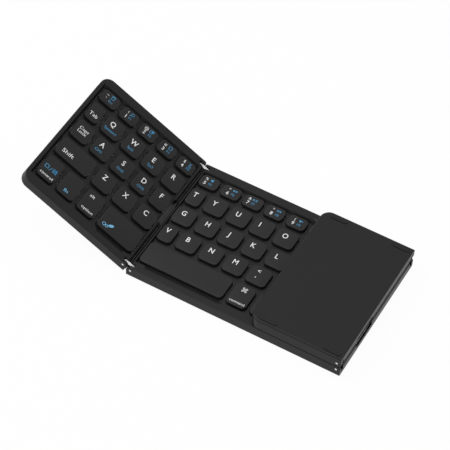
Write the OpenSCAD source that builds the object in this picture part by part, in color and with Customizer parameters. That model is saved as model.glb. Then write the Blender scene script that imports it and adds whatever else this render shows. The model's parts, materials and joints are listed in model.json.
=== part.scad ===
/* [Panels] */
// Width of the right touchpad panel
right_width = 62.4; // [58:0.2:70]
// Height of one panel without its feet
panel_height = 8; // [7.8:0.1:8.6]
// Slot between two panels, lying flat or folded face to face
fold_gap = 0.4; // [0.3:0.05:0.5]
// Plan radius of the outer corners
corner_radius = 6.5; // [4:0.5:7]
// Rounding of the edges of the underside
under_round = 1; // [0.6:0.1:1.6]
// Rounding of the upper edges
upper_round = 0.4; // [0.2:0.1:0.8]
// Thickness of the floor of a bottom cover
floor_thickness = 0.9; // [0.8:0.1:1.1]
// Thickness of the side walls
wall = 1.2; // [1:0.1:1.4]

/* [Hinges] */
// Tilt of the left panel above the middle panel's plane
left_tilt = 27.6; // [10:0.2:60]
// Radius of the hinge edges about their pins, also the pins' inset
hinge_radius = 2.8; // [2.7:0.05:3]
// Radius of a hinge pin
pin_radius = 0.8; // [0.6:0.05:0.9]
// Running clearance between a pin and a link's eye
pin_clearance = 0.06; // [0.04:0.01:0.1]
// Radius of a link's round ends
link_radius = 1.25; // [1.1:0.05:1.35]
// Reach of a link's tip beyond its pin
link_reach = 1.75; // [1.7:0.05:1.8]
// Thickness of a link at its middle
link_thickness = 1.9; // [1.7:0.1:2.4]
// Distance from a panel's end to the centre of its link
link_inset = 3.1; // [3:0.05:3.3]
// Clearance round a link in its pocket
pocket_clearance = 0.2; // [0.15:0.05:0.3]
// Length of a hinge block along its pin
block_length = 2.1; // [2:0.1:2.2]
// Width of a ribbon cable
ribbon_width = 20; // [12:0.5:24]
// Thickness of a ribbon cable
ribbon_thickness = 0.3; // [0.2:0.05:0.4]
// Distance of a ribbon cable below the line of its hinge pins
ribbon_drop = 0.9; // [0.8:0.05:1]
// Height of a hinge's dust strip
strip_height = 4.4; // [3:0.1:5]
// Thickness of a hinge's dust strip
strip_thickness = 0.16; // [0.12:0.02:0.18]
// Centre of the left hinge's ribbon cable, from the front
left_ribbon_y = 50; // [40:1:60]
// Centre of the right hinge's ribbon cable, from the front
right_ribbon_y = 31.5; // [28:0.5:60]

/* [Keys] */
// Width of a letter key's top
key_width = 13.7; // [13:0.1:14]
// Width of the left panel's outermost letter key's top
tab_key_width = 10.1; // [8.5:0.1:14]
// Depth of a letter key's top
key_depth = 13.8; // [13:0.1:15]
// Depth of a number key's top
number_key_depth = 9.6; // [9:0.1:11]
// Depth of a front row key's top
front_key_depth = 17; // [15:0.2:19]
// Width of a number key's top
number_key_width = 12.85; // [12:0.05:13.2]
// Width of the T and V keys, cut short at the seam
seam_key_width = 10; // [9:0.1:11]
// Width of the D and F keys
narrow_key_width = 12.1; // [11.5:0.1:12.8]
// Width of the left panel's space key
left_space_width = 28.2; // [25:0.2:30]
// Width of the space bar
space_bar_width = 58.1; // [54:0.2:60]
// Width of the keys beside the two space keys
modifier_width = 13.4; // [12.6:0.1:14]
// Gap between the tops of two keys in one row
key_gap = 2.9; // [2.7:0.1:3.2]
// Gap between the tops of two rows
row_gap = 3.4; // [3:0.1:3.8]
// Corner radius of a key in plan
key_corner = 2.8; // [1.6:0.1:3]
// How much wider a key's foot is than its top, on each side
key_taper = 0.25; // [0.1:0.05:0.35]
// Bevel round a key's top
key_bevel = 0.25; // [0.1:0.05:0.4]
// Height of a key cap
cap_height = 2.5; // [2.3:0.1:2.7]
// Wall of a key cap
cap_wall = 0.8; // [0.6:0.1:1]
// Travel of a key
key_travel = 1.2; // [0.8:0.1:1.3]
// Height of a key's top above the deck
key_rise = 2; // [1.8:0.1:2.1]
// Clearance between a key and its opening
key_clearance = 0.3; // [0.2:0.05:0.4]

/* [Top frames] */
// Drop from the rim to the deck between the keys
deck_drop = 2.2; // [2:0.1:2.3]
// Thickness of the deck
deck_thickness = 0.5; // [0.4:0.05:0.6]
// Distance from a hinge edge to the nearest key top
hinge_margin = 3.4; // [3.3:0.1:4]
// Distance from the left panel's outer edge to the nearest key top
outer_margin = 4.9; // [4:0.1:6]
// Distance from the front edge to the nearest key top
front_margin = 8.6; // [8.3:0.1:10]
// Distance from the back edge to the nearest key top
back_margin = 7.8; // [7.6:0.1:9]
// Flat strip of deck round the outer keys
deck_strip = 0.45; // [0.3:0.05:0.7]
// Width in plan of the slope from the deck to the rim
deck_slope = 1.4; // [1:0.1:1.6]
// Depth of the thumb scoops, from their front to the deck
scoop_reach = 4.6; // [3.5:0.1:5]
// Start of the middle scoop, from the left hinge edge
middle_scoop_start = 9; // [6:0.5:14]
// Length of the middle scoop at the space bar
middle_scoop_length = 56.5; // [40:0.5:60]
// Start of the left scoop, from the hinge edge
left_scoop_start = 6.5; // [6:0.5:10]
// Length of the left scoop at its key
left_scoop_length = 24; // [16:0.5:26]
// Distance of the indicator lens from the left hinge edge
indicator_x = 81.5; // [60:0.5:84]
// Radius of the indicator lens
indicator_radius = 0.6; // [0.4:0.05:0.8]

/* [Touchpad] */
// Distance from the links' pockets to the touchpad plate, across the panel
touchpad_side_gap = 1; // [0.8:0.1:4]
// Distance from the hinge blocks to the touchpad plate, along the pins
touchpad_end_gap = 1; // [0.8:0.1:8]
// Thickness of the touchpad plate
touchpad_thickness = 0.8; // [0.6:0.1:1]
// Depth of the plate below the rim
touchpad_drop = 0.3; // [0.2:0.05:0.5]
// Clearance round the plate
touchpad_clearance = 0.2; // [0.1:0.05:0.3]

/* [Inside] */
// Thickness of a key support plate
plate_thickness = 0.3; // [0.2:0.05:0.4]
// Thickness of a membrane
membrane_thickness = 0.25; // [0.2:0.05:0.3]
// Thickness of the printed circuit boards
board_thickness = 0.5; // [0.4:0.05:0.6]
// Length of the battery
battery_length = 52; // [30:1:56]
// Width of the battery
battery_width = 34; // [20:1:36]
// Thickness of the battery
battery_thickness = 1.9; // [1.4:0.1:1.9]
// Centre of the charging socket, from the left hinge edge
socket_x = 30; // [26:0.5:40]
// Radius of the support posts
post_radius = 1.4; // [1:0.1:1.8]

/* [Feet and screws] */
// Length of a foot pad
foot_length = 11.5; // [9:0.5:12]
// Width of a foot pad
foot_width = 2.8; // [2.6:0.1:3]
// Height of a foot pad below the case
foot_proud = 0.35; // [0.2:0.05:0.5]
// Depth of a foot pad's recess
foot_recess = 0.4; // [0.3:0.05:0.5]
// Distance of a foot's centre from a hinge edge
foot_inset_hinge = 8; // [7.6:0.1:10]
// Distance of a foot's centre from an outer edge
foot_inset_outer = 11.5; // [9:0.5:14]
// Distance of a foot's centre from the front or back edge
foot_inset_end = 3.1; // [3:0.05:3.3]
// Radius of a screw's shank
screw_radius = 0.65; // [0.5:0.05:0.7]
// Radius of a screw's head
screw_head_radius = 1.15; // [1:0.05:1.2]

/* [Hidden] */
$fn = 48;
cut = 1;
press_clearance = 0.25;
seat_clearance = 0.05;
scoop_slant = 2.5;
scoop_lip = 0.7;
scoop_step = 0.5;
ring_bar = 0.6;
ring_slack = 0.2;
ring_height = 0.8;
ring_inset = 1.5;
dome_flange = 0.25;
dome_radius = 2.6;
screw_head_height = 0.85;
screw_boss_radius = 2;
socket_size = [8.94, 7.3, 3.16];
socket_shell = 0.3;
chip_size = 7;
chip_height = 0.9;
ribbon_clearance = 0.25;
strip_clearance = 0.1;
strip_end = 0.4;
edge_round = 0.5;
ribbon_end = 0.8;
rim_plate = 0.9;

left_width = hinge_margin + 4 * (key_width + key_gap) + tab_key_width + outer_margin;
middle_width = left_width + right_width + fold_gap;
panel_depth = front_margin + front_key_depth + 3 * key_depth + number_key_depth
            + 4 * row_gap + back_margin;
board_size = [0.53 * left_width, 0.34 * panel_depth];
pin_height = panel_height - hinge_radius;
link_length = 2 * hinge_radius + fold_gap;
deck_z = panel_height - deck_drop;
key_top_z = deck_z + key_rise;
key_base_z = key_top_z - cap_height;
membrane_z = key_base_z - key_travel - press_clearance - membrane_thickness;
membrane_top_z = membrane_z + membrane_thickness;
plate_z = membrane_z - plate_thickness;
board_z = floor_thickness + seat_clearance;
board_top_z = board_z + board_thickness;
key_reach = key_taper + key_clearance;
deck_edge = hinge_margin - key_reach;
pocket_end = hinge_radius + link_reach + 0.15;
pocket_floor = pin_height - link_reach - pocket_clearance;
pocket_y = link_inset - link_thickness / 2 - pocket_clearance;
pocket_width = link_thickness + 2 * pocket_clearance;
block_y = pocket_y + pocket_width + 0.2;
block_end = block_y + block_length;
sheet_end = max(block_end, socket_size[1] + pocket_clearance);
block_x = wall + 0.1;
block_width = 2 * (hinge_radius - block_x) + 1.1;
block_top = pin_height + 1.2;
window_depth = hinge_radius - ribbon_drop + ribbon_thickness / 2 + ribbon_clearance;
window_floor = pin_height - ribbon_drop - ribbon_thickness / 2 - ribbon_clearance;
scoop_front = front_margin - key_reach - deck_strip - scoop_reach;

// The row origin is the centre of the resting part's box, on the ground.
tilt_reach = left_width + fold_gap + hinge_radius - under_round;
tilt_drop = pin_height - under_round;
left_end = hinge_radius - tilt_reach * cos(left_tilt) - tilt_drop * sin(left_tilt) - under_round;
centre_x = (left_end + middle_width) / 2;

// Key rows, front to back: widths from the hinge edge outwards, the last key fills its row.
row_depths = [front_key_depth, key_depth, key_depth, key_depth, number_key_depth];
left_rows = [
    [left_space_width, modifier_width, modifier_width],
    [key_width, key_width, key_width],
    [narrow_key_width, narrow_key_width, key_width, key_width],
    [key_width, key_width, key_width, key_width],
    [for (i = [0:3]) number_key_width]
];
middle_rows = [
    [space_bar_width, modifier_width, modifier_width, modifier_width, modifier_width],
    [seam_key_width, for (i = [0:6]) key_width],
    [for (i = [0:6]) key_width],
    [seam_key_width, for (i = [0:6]) key_width],
    [for (i = [0:7]) number_key_width]
];

function sum(v, n) = n == 0 ? 0 : v[n - 1] + sum(v, n - 1);
function row_y(r) = front_margin + sum(row_depths, r) + r * row_gap;
function key_u(row, k) = hinge_margin + sum(row, k) + k * key_gap;
function key_w(row, k, end) = k < len(row) ? row[k] : end - key_u(row, k);

// A key is [x, y, width, depth] of its top in its panel's frame, then its scissor sets.
function sets_of(r, k) = r == 0 && k == 0 ? 2 : 1;
function middle_key(r, k) = [
    key_u(middle_rows[r], k), row_y(r),
    key_w(middle_rows[r], k, middle_width - hinge_margin), row_depths[r], sets_of(r, k)
];
function left_key(r, k) =
    let (w = key_w(left_rows[r], k, left_width - outer_margin))
    [-key_u(left_rows[r], k) - w, row_y(r), w, row_depths[r], sets_of(r, k)];
function all_keys(left) = [
    for (r = [0:4]) for (k = [0:len(left ? left_rows[r] : middle_rows[r])])
        left ? left_key(r, k) : middle_key(r, k)
];
left_keys = all_keys(true);
middle_keys = all_keys(false);

function foot_spots(x0, x1, inset0, inset1) = [
    for (x = [x0 + inset0, x1 - inset1]) for (y = [foot_inset_end, panel_depth - foot_inset_end])
        [x, y]
];
middle_feet_spots = foot_spots(0, middle_width, foot_inset_hinge, foot_inset_hinge);
left_feet_spots = foot_spots(-left_width, 0, foot_inset_outer, foot_inset_hinge);
right_feet_spots = foot_spots(0, right_width, foot_inset_hinge, foot_inset_outer);

battery_place = [0.85 * middle_width - battery_length, panel_depth / 2];
board_place = [socket_x - 0.4 * board_size[0], panel_depth - wall - seat_clearance - board_size[1]];
post_rows = [front_margin + front_key_depth / 2, row_y(1) + key_depth / 2];
middle_posts = concat(
    [for (x = [0.08, 0.3, 0.54, 0.76, 0.93]) for (y = post_rows) [x * middle_width, y]],
    [for (x = [0.42, 0.93]) [x * middle_width, row_y(3) + key_depth / 2]]
);
left_posts = [
    for (x = [0.12, 0.5, 0.88]) for (r = [0, 2, 3]) [-x * left_width, row_y(r) + row_depths[r] / 2]
];
right_posts = [
    for (x = [0.25, 0.75]) for (y = [0.2, 0.5, 0.8]) [x * right_width, y * panel_depth]
];

// ---- frames of the panels at rest ----

module place_middle() {
    translate([-centre_x, -panel_depth / 2, foot_proud]) children();
}

// The left panel has only turned about the middle panel's pins, in line with its links.
module place_left() {
    place_middle()
        translate([hinge_radius, 0, pin_height])
        rotate([0, left_tilt, 0])
        translate([hinge_radius - link_length, 0, -pin_height])
        children();
}

// The right panel lies folded, upside down on the middle panel.
module place_right() {
    place_middle()
        translate([middle_width - hinge_radius, 0, pin_height + link_length])
        rotate([0, 180, 0])
        translate([-hinge_radius, 0, -pin_height])
        children();
}

module place_left_links() {
    place_middle()
        translate([hinge_radius, 0, pin_height])
        rotate([0, left_tilt, 0])
        translate([-link_length, 0, 0])
        children();
}

module place_right_links() {
    place_middle()
        translate([middle_width - hinge_radius, 0, pin_height])
        rotate([0, -90, 0])
        children();
}

// ---- shared shapes ----

module rounded_rect(w, d, r) {
    translate([r, 0]) square([w - 2 * r, d]);
    translate([0, r]) square([w, d - 2 * r]);
    for (x = [r, w - r]) for (y = [r, d - r]) translate([x, y]) circle(r);
}

// Section of a case edge, from its own axis out to reach.
module edge_section(reach) {
    square([reach - under_round, panel_height]);
    translate([0, under_round]) square([reach, panel_height - under_round - upper_round]);
    translate([0, panel_height / 2]) square([reach - upper_round, panel_height / 2]);
    translate([reach - under_round, under_round]) circle(under_round);
    translate([reach - upper_round, panel_height - upper_round]) circle(upper_round);
}

// A slab from x0 to x1 with rounded corners and edges on all sides.
module soft_slab(x0, x1) {
    r = corner_radius;
    half = panel_depth / 2;
    translate([x0 + r, half, 0]) rotate([90, 0, 90])
        linear_extrude(x1 - x0 - 2 * r) {
            edge_section(half);
            mirror([1, 0]) edge_section(half);
        }
    translate([x0 + r, panel_depth - r, 0]) rotate([90, 0, 0])
        linear_extrude(panel_depth - 2 * r) mirror([1, 0]) edge_section(r);
    translate([x1 - r, panel_depth - r, 0]) rotate([90, 0, 0])
        linear_extrude(panel_depth - 2 * r) edge_section(r);
    for (x = [x0 + r, x1 - r]) for (y = [r, panel_depth - r]) translate([x, y, 0])
        rotate_extrude() edge_section_half(r);
}

module edge_section_half(reach) {
    intersection() {
        edge_section(reach);
        square([reach + cut, panel_height]);
    }
}

// Section across a panel: each hinge edge is rounded about its pins.
module panel_section(x0, x1, hinge0, hinge1) {
    over = cut + corner_radius;
    in0 = hinge0 ? hinge_radius : -over;
    in1 = hinge1 ? hinge_radius : -over;
    low0 = hinge0 ? edge_round : -over;
    low1 = hinge1 ? edge_round : -over;
    end0 = min(low0, 0);
    end1 = min(low1, 0);
    translate([x0 + low0, 0]) square([x1 - x0 - low0 - low1, pin_height]);
    translate([x0 + end0, edge_round]) square([x1 - x0 - end0 - end1, pin_height - edge_round]);
    translate([x0 + in0, 0]) square([x1 - x0 - in0 - in1, panel_height]);
    if (hinge0) hinge_edge_section(x0, 1);
    if (hinge1) hinge_edge_section(x1, -1);
}

module hinge_edge_section(x, side) {
    translate([x + side * hinge_radius, pin_height]) circle(hinge_radius);
    translate([x + side * edge_round, edge_round]) circle(edge_round);
}

module along_y(y0, y1) {
    translate([0, y1, 0]) rotate([90, 0, 0]) linear_extrude(y1 - y0) children();
}

module along_x(x0, x1) {
    translate([x0, 0, 0]) rotate([90, 0, 90]) linear_extrude(x1 - x0) children();
}

module case_solid(x0, x1, hinge0, hinge1) {
    over = cut + corner_radius;
    intersection() {
        soft_slab(x0 - (hinge0 ? over : 0), x1 + (hinge1 ? over : 0));
        along_y(-cut, panel_depth + cut) panel_section(x0, x1, hinge0, hinge1);
    }
}

// Runs its children at both ends of the hinge edge at x; side is 1 where the panel
// lies on its +x side. Children are drawn for an edge at x = 0 and the front end.
module at_hinge_ends(x, side) {
    translate([x, 0, 0]) mirror([side < 0 ? 1 : 0, 0, 0]) {
        children();
        translate([0, panel_depth, 0]) mirror([0, 1, 0]) children();
    }
}

module link_pocket() {
    translate([-cut, pocket_y, pocket_floor])
        cube([pocket_end + cut, pocket_width, panel_height]);
}

module pin_bore() {
    translate([hinge_radius, -cut, pin_height]) rotate([-90, 0, 0])
        cylinder(r = pin_radius, h = block_end + cut);
}

module corner_block() {
    translate([0, wall / 2, floor_thickness / 2])
        cube([pocket_end + 0.6, block_y - wall / 2, pin_height - floor_thickness / 2]);
}

module hinge_block() {
    difference() {
        translate([block_x, block_y, floor_thickness])
            cube([block_width, block_length, block_top - floor_thickness]);
        pin_bore();
    }
}

module block_room() {
    translate([block_x - 0.1, block_y - cut / 2, floor_thickness])
        cube([block_width + 0.2, block_length + cut / 2 + 0.1, block_top + 0.1 - floor_thickness]);
}

module hinge_pin() {
    translate([hinge_radius, 0.1, pin_height]) rotate([-90, 0, 0])
        cylinder(r = pin_radius, h = block_end - 0.1);
}

module ribbon_window(y) {
    translate([-cut, y - ribbon_width / 2 - ribbon_clearance, window_floor])
        cube([cut + window_depth, ribbon_width + 2 * ribbon_clearance, panel_height]);
}

module foot_pad(grow) {
    translate([-foot_length / 2 - grow, -foot_width / 2 - grow, 0])
        rounded_rect(foot_length + 2 * grow, foot_width + 2 * grow, foot_width / 2 + grow - 0.01);
}

module feet(spots) {
    for (p = spots) translate([p[0], p[1], -foot_proud])
        linear_extrude(foot_proud + foot_recess) foot_pad(0);
}

module foot_recesses(spots) {
    for (p = spots) translate([p[0], p[1], -cut])
        linear_extrude(cut + foot_recess) foot_pad(0);
}

screw_seat_z = foot_recess + seat_clearance + screw_head_height;
screw_top_z = panel_height - rim_plate - 0.3;

module screw() {
    translate([0, 0, foot_recess + seat_clearance])
        cylinder(r = screw_head_radius, h = screw_head_height);
    cylinder_between(screw_radius, foot_recess + seat_clearance, screw_top_z);
}

module cylinder_between(r, z0, z1) {
    translate([0, 0, z0]) cylinder(r = r, h = z1 - z0);
}

module screw_hole_below() {
    cylinder_between(screw_head_radius + 0.1, -cut, screw_seat_z);
    cylinder_between(screw_radius + 0.1, -cut, panel_height);
}

module screws(spots) {
    for (p = spots) translate([p[0], p[1], 0]) screw();
}

// ---- key parts ----

module cap_section(w) {
    bevel_z = cap_height - key_bevel;
    foot = w / 2 + key_taper;
    polygon([
        [-foot, 0], [foot, 0],
        [w / 2, bevel_z], [w / 2 - key_bevel, cap_height],
        [key_bevel - w / 2, cap_height], [-w / 2, bevel_z]
    ]);
}

module key_cap(key) {
    w = key[2];
    d = key[3];
    foot_w = w + 2 * key_taper;
    foot_d = d + 2 * key_taper;
    translate([key[0] + w / 2, key[1] + d / 2, key_base_z])
        difference() {
            intersection() {
                linear_extrude(cap_height) translate([-foot_w / 2, -foot_d / 2])
                    rounded_rect(foot_w, foot_d, key_corner + key_taper);
                along_y(-foot_d, foot_d) cap_section(w);
                along_x(-foot_w, foot_w) cap_section(d);
            }
            translate([cap_wall - foot_w / 2, cap_wall - foot_d / 2, -cut])
                cube([foot_w - 2 * cap_wall, foot_d - 2 * cap_wall, cut + cap_height - cap_wall]);
        }
}

module key_opening(key) {
    translate([key[0] - key_reach, key[1] - key_reach, 0])
        linear_extrude(panel_height + cut)
        rounded_rect(key[2] + 2 * key_reach, key[3] + 2 * key_reach, key_corner + key_reach);
}

// The two space keys have two scissor sets, any other key has one.
function set_size(key) = [
    (key[4] == 2 ? key_width : min(key[2], 1.6 * key_width)) - 2 * ring_inset,
    min(key[3], key_depth) - 2 * ring_inset
];
function set_spots(key) =
    let (side = key[4] == 2 ? key_width / 2 : key[2] / 2)
    [for (x = key[4] == 2 ? [side, key[2] - side] : [side]) [key[0] + x, key[1] + key[3] / 2]];

module ring(size, grow) {
    w = size[0] + 2 * grow;
    d = size[1] + 2 * grow;
    linear_extrude(ring_height) difference() {
        translate([-w / 2, -d / 2]) square([w, d]);
        translate([ring_bar - w / 2, ring_bar - d / 2])
            square([w - 2 * ring_bar, d - 2 * ring_bar]);
    }
}

module scissor_frames(keys) {
    for (key = keys) for (p = set_spots(key))
        translate([p[0], p[1], membrane_top_z]) {
            ring(set_size(key), 0);
            ring(set_size(key), -ring_bar - ring_slack);
        }
}

dome_height = key_top_z - cap_wall - key_travel - 0.15 - membrane_top_z;

module dome(key) {
    size = set_size(key);
    inner = min(size[0], size[1]) / 2 - 2 * ring_bar - ring_slack - 0.2;
    r = min(dome_radius, inner);
    rotate_extrude() polygon([
        [0, 0], [r, 0], [r, dome_flange], [r * 0.86, dome_flange],
        [r * 0.62, dome_height * 0.72], [r * 0.5, dome_height * 0.8],
        [r * 0.5, dome_height], [0, dome_height]
    ]);
}

module rubber_domes(keys) {
    for (key = keys) for (p = set_spots(key))
        translate([p[0], p[1], membrane_top_z]) dome(key);
}

module sheet(x0, x1, z, thickness, inset) {
    translate([x0 + wall + inset, sheet_end + inset, z])
        cube([x1 - x0 - 2 * (wall + inset), panel_depth - 2 * (sheet_end + inset), thickness]);
}

// ---- covers and frames ----

module hinge_cuts(x, side, ribbon_y) {
    at_hinge_ends(x, side) {
        link_pocket();
        pin_bore();
        block_room();
    }
    translate([x, 0, 0]) mirror([side < 0 ? 1 : 0, 0, 0]) ribbon_window(ribbon_y);
}

module posts(spots, top) {
    for (p = spots) translate([p[0], p[1], 0])
        cylinder_between(post_radius, floor_thickness - 0.1, top);
}

// Plan of the room inside a cover: corners are rounded at a side without a hinge.
module room_plan(x0, x1, hinge0, hinge1) {
    r = corner_radius - wall;
    a = x0 + wall;
    b = x1 - wall;
    in0 = hinge0 ? 0 : r;
    in1 = hinge1 ? 0 : r;
    translate([a + in0, wall]) square([b - a - in0 - in1, panel_depth - 2 * wall]);
    if (!hinge0) room_side(a, r);
    if (!hinge1) translate([b, 0]) mirror([1, 0]) room_side(0, r);
}

module room_side(x, r) {
    translate([x, wall + r]) square([2 * r, panel_depth - 2 * (wall + r)]);
    for (y = [wall + r, panel_depth - wall - r]) translate([x + r, y]) circle(r);
}

module tray(x0, x1, hinge0, hinge1) {
    difference() {
        case_solid(x0, x1, hinge0, hinge1);
        translate([x0 - cut, -cut, pin_height])
            cube([x1 - x0 + 2 * cut, panel_depth + 2 * cut, panel_height]);
        translate([0, 0, floor_thickness]) linear_extrude(panel_height)
            room_plan(x0, x1, hinge0, hinge1);
    }
}

module screw_bosses(spots) {
    for (p = spots) translate([p[0], p[1], 0])
        cylinder_between(screw_boss_radius, floor_thickness - 0.1, pin_height);
}

module bottom_cover(x0, x1, hinge0, hinge1, spots, post_spots, post_top, ribbon0, ribbon1) {
    difference() {
        union() {
            tray(x0, x1, hinge0, hinge1);
            intersection() {
                union() {
                    if (hinge0) at_hinge_ends(x0, 1) corner_block();
                    if (hinge1) at_hinge_ends(x1, -1) corner_block();
                    screw_bosses(spots);
                }
                case_solid(x0, x1, hinge0, hinge1);
            }
            posts(post_spots, post_top);
        }
        if (hinge0) hinge_cuts(x0, 1, ribbon0);
        if (hinge1) hinge_cuts(x1, -1, ribbon1);
        foot_recesses(spots);
        for (p = spots) translate([p[0], p[1], 0]) screw_hole_below();
    }
}

// The upper half of a case, still without its recess and openings.
module frame_blank(x0, x1, hinge0, hinge1) {
    difference() {
        case_solid(x0, x1, hinge0, hinge1);
        translate([x0 - cut, -cut, -cut])
            cube([x1 - x0 + 2 * cut, panel_depth + 2 * cut, pin_height + cut]);
        translate([x0 + (hinge0 ? deck_edge : wall), block_end, -cut])
            cube([x1 - x0 - (hinge0 ? deck_edge : wall) - (hinge1 ? deck_edge : wall),
                  panel_depth - 2 * block_end, cut + deck_z - deck_thickness]);
    }
}

// The recess round the keys; its slopes rise to the rim at every side but a hinge.
module deck_recess(x0, x1, slope0, slope1) {
    y0 = front_margin - key_reach - deck_strip;
    y1 = panel_depth - back_margin + key_reach;
    steep = deck_slope / deck_drop;
    rise = deck_drop + cut;
    intersection() {
        along_y(0, panel_depth) polygon([
            [x0, deck_z], [x1, deck_z],
            [x1 + slope1 * steep * rise, deck_z + rise], [x0 - slope0 * steep * rise, deck_z + rise]
        ]);
        along_x(x0 - 10, x1 + 10) polygon([
            [y0, deck_z], [y1, deck_z],
            [y1 + steep * rise, deck_z + rise], [y0 - steep * rise, deck_z + rise]
        ]);
    }
}

module thumb_scoop(x, length) {
    back = scoop_front + scoop_reach;
    intersection() {
        translate([x, 0, 0]) linear_extrude(2 * panel_height) polygon([
            [scoop_slant, scoop_front], [length - scoop_slant, scoop_front],
            [length, back], [length, back + cut], [0, back + cut], [0, back]
        ]);
        along_x(x - cut, x + length + cut) polygon([
            [scoop_front, panel_height + cut], [scoop_front, panel_height],
            [scoop_front + scoop_step, panel_height - scoop_lip], [back, deck_z + 0.1],
            [back + cut, deck_z + 0.1], [back + cut, panel_height + cut]
        ]);
    }
}

module frame_screw_holes(spots) {
    for (p = spots) translate([p[0], p[1], 0])
        cylinder_between(screw_radius, 0, screw_top_z);
}

// ---- middle panel ----

module middle_bottom_cover() {
    color("#303032") place_middle() difference() {
        bottom_cover(0, middle_width, true, true, middle_feet_spots, middle_posts, plate_z,
                     left_ribbon_y, right_ribbon_y);
        socket_hole();
    }
}

module middle_top_frame() {
    color("#2e2e30") place_middle() difference() {
        frame_blank(0, middle_width, true, true);
        deck_recess(deck_edge, middle_width - deck_edge, 0, 0);
        thumb_scoop(middle_scoop_start, middle_scoop_length);
        for (key = middle_keys) key_opening(key);
        hinge_cuts(0, 1, left_ribbon_y);
        hinge_cuts(middle_width, -1, right_ribbon_y);
        frame_screw_holes(middle_feet_spots);
        indicator_bore(indicator_radius + seat_clearance);
    }
}

indicator_y = panel_depth - back_margin / 2 - 0.3;

module indicator_bore(r) {
    translate([indicator_x, indicator_y, 0]) cylinder_between(r, 0, panel_height + cut);
}

module indicator_lens() {
    color("#16181a") place_middle() translate([indicator_x, indicator_y, 0])
        cylinder_between(indicator_radius, pin_height, panel_height - 0.1);
}

module middle_support_plate() {
    color("#9a9ca0") place_middle() sheet(0, middle_width, plate_z, plate_thickness, 0.1);
}

module middle_membrane() {
    color("#c8c4b0") place_middle() sheet(0, middle_width, membrane_z, membrane_thickness, 0.3);
}

module middle_rubber_domes() {
    color("#d8dad8") place_middle() rubber_domes(middle_keys);
}

module middle_scissor_frames() {
    color("#e4e4e2") place_middle() scissor_frames(middle_keys);
}

module chip(x, y, w, d, h) {
    translate([x, y, 0]) cube([w, d, h]);
}

module circuit_board() {
    w = board_size[0];
    d = board_size[1];
    top = board_thickness;
    color("#1f6a3c") place_middle() translate([board_place[0], board_place[1], board_z]) {
        cube([w, d, top]);
        chip(0.2 * w, 0.24 * d, chip_size, chip_size, top + chip_height);
        chip(0.53 * w, 0.27 * d, 0.7 * chip_size, 0.7 * chip_size, top + chip_height);
        chip(0.76 * w, 0.42 * d, 0.46 * chip_size, 0.36 * chip_size, top + 0.8 * chip_height);
        chip(0.44 * w, 0.09 * d, 2 * chip_size, 0.34 * chip_size, top + 1.1 * chip_height);
        for (i = [0:4])
            chip((0.18 + 0.066 * i) * w, 0.58 * d, 0.14 * chip_size, 0.09 * chip_size,
                 top + 0.6 * chip_height);
    }
}

module battery() {
    color("#8f949c") place_middle()
        translate([battery_place[0], battery_place[1], floor_thickness + seat_clearance])
        linear_extrude(battery_thickness) rounded_rect(battery_length, battery_width, 1.2);
}

module socket_outline(grow) {
    translate([-socket_size[0] / 2 - grow, -grow])
        rounded_rect(socket_size[0] + 2 * grow, socket_size[2] + 2 * grow, socket_size[2] / 2 + grow - 0.05);
}

module place_socket() {
    translate([socket_x, 0, board_top_z]) children();
}

module socket_hole() {
    place_socket() along_y(panel_depth - wall - cut, panel_depth + cut) socket_outline(0.1);
}

module charging_socket() {
    back = panel_depth - 0.15;
    front = back - socket_size[1];
    color("#c9ccd0") place_middle() place_socket() {
        difference() {
            along_y(front, back) socket_outline(0);
            along_y(front + 1, back + cut) socket_outline(-socket_shell);
        }
        along_y(front + 0.5, back - 1.2)
            translate([-3.3, socket_size[2] / 2 - 0.35]) square([6.6, 0.7]);
    }
}

module middle_feet() {
    color("#1c1c1e") place_middle() feet(middle_feet_spots);
}

module middle_screws() {
    color("#7c7f84") place_middle() screws(middle_feet_spots);
}

module middle_hinge_blocks() {
    color("#b4b7bb") place_middle() {
        at_hinge_ends(0, 1) hinge_block();
        at_hinge_ends(middle_width, -1) hinge_block();
    }
}

module middle_hinge_pins() {
    color("#e6e8ea") place_middle() {
        at_hinge_ends(0, 1) hinge_pin();
        at_hinge_ends(middle_width, -1) hinge_pin();
    }
}

module middle_keycaps(r, ks) {
    color("#37373a") place_middle() for (k = ks) key_cap(middle_key(r, k));
}

// ---- left panel ----

module left_bottom_cover() {
    color("#303032") place_left()
        bottom_cover(-left_width, 0, false, true, left_feet_spots, left_posts, plate_z,
                     0, left_ribbon_y);
}

module left_top_frame() {
    color("#2e2e30") place_left() difference() {
        frame_blank(-left_width, 0, false, true);
        deck_recess(-left_width + outer_margin - key_reach - deck_strip, -deck_edge, 1, 0);
        thumb_scoop(-left_scoop_start - left_scoop_length, left_scoop_length);
        for (key = left_keys) key_opening(key);
        hinge_cuts(0, -1, left_ribbon_y);
        frame_screw_holes(left_feet_spots);
    }
}

module left_support_plate() {
    color("#9a9ca0") place_left() sheet(-left_width, 0, plate_z, plate_thickness, 0.1);
}

module left_membrane() {
    color("#c8c4b0") place_left() sheet(-left_width, 0, membrane_z, membrane_thickness, 0.3);
}

module left_rubber_domes() {
    color("#d8dad8") place_left() rubber_domes(left_keys);
}

module left_scissor_frames() {
    color("#e4e4e2") place_left() scissor_frames(left_keys);
}

module left_feet() {
    color("#1c1c1e") place_left() feet(left_feet_spots);
}

module left_screws() {
    color("#7c7f84") place_left() screws(left_feet_spots);
}

module left_hinge_blocks() {
    color("#b4b7bb") place_left() at_hinge_ends(0, -1) hinge_block();
}

module left_hinge_pins() {
    color("#e6e8ea") place_left() at_hinge_ends(0, -1) hinge_pin();
}

module left_keycaps(r, ks) {
    color("#303033") place_left() for (k = ks) key_cap(left_key(r, k));
}

// ---- right panel ----

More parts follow.
